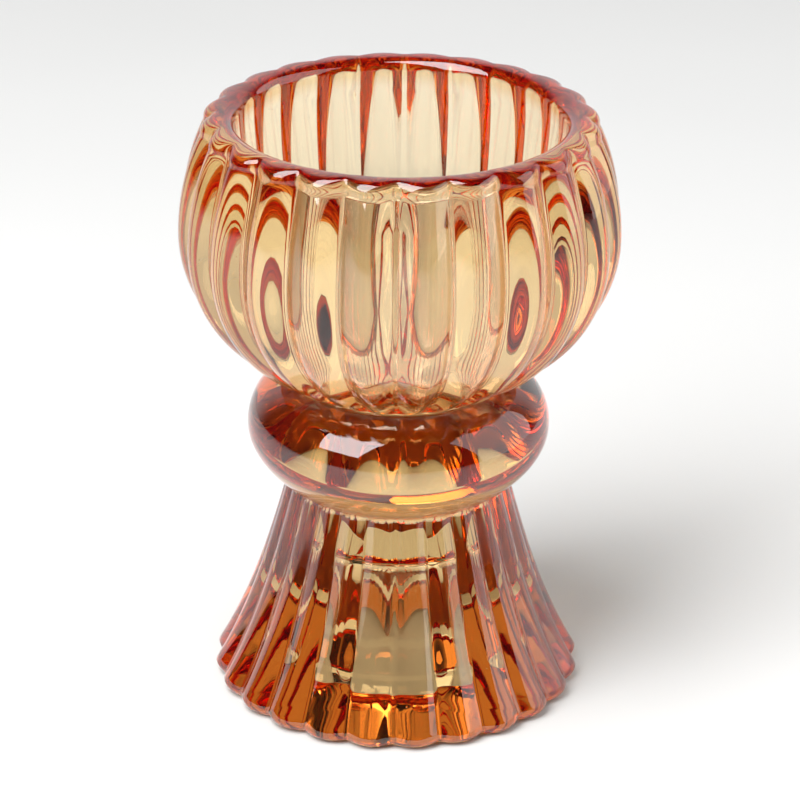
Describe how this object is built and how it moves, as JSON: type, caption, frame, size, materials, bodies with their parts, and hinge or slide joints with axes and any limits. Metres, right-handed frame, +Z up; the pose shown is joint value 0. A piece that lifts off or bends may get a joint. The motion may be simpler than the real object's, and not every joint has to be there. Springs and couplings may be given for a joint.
{
  "type": "glass candlestick",
  "caption": "Ribbed amber glass candlestick: round tea light bowl on a smooth collar and a flared ribbed foot with a candle socket underneath.",
  "frame": {"origin": "centre of the underside of the foot, on the surface that it stands on", "axes": "+Z up along the axis of the candlestick, towards the mouth of the bowl; -Y through the valley of the ribs that carries the mould seam"},
  "size_m": [0.079, 0.079, 0.11],
  "materials": {
    "amber_glass": "fire-polished pressed glass with an amber stain"
  },
  "bodies": {
    "root": {"bowl": "amber_glass", "collar": "amber_glass", "foot": "amber_glass"}
  },
  "joints": []
}
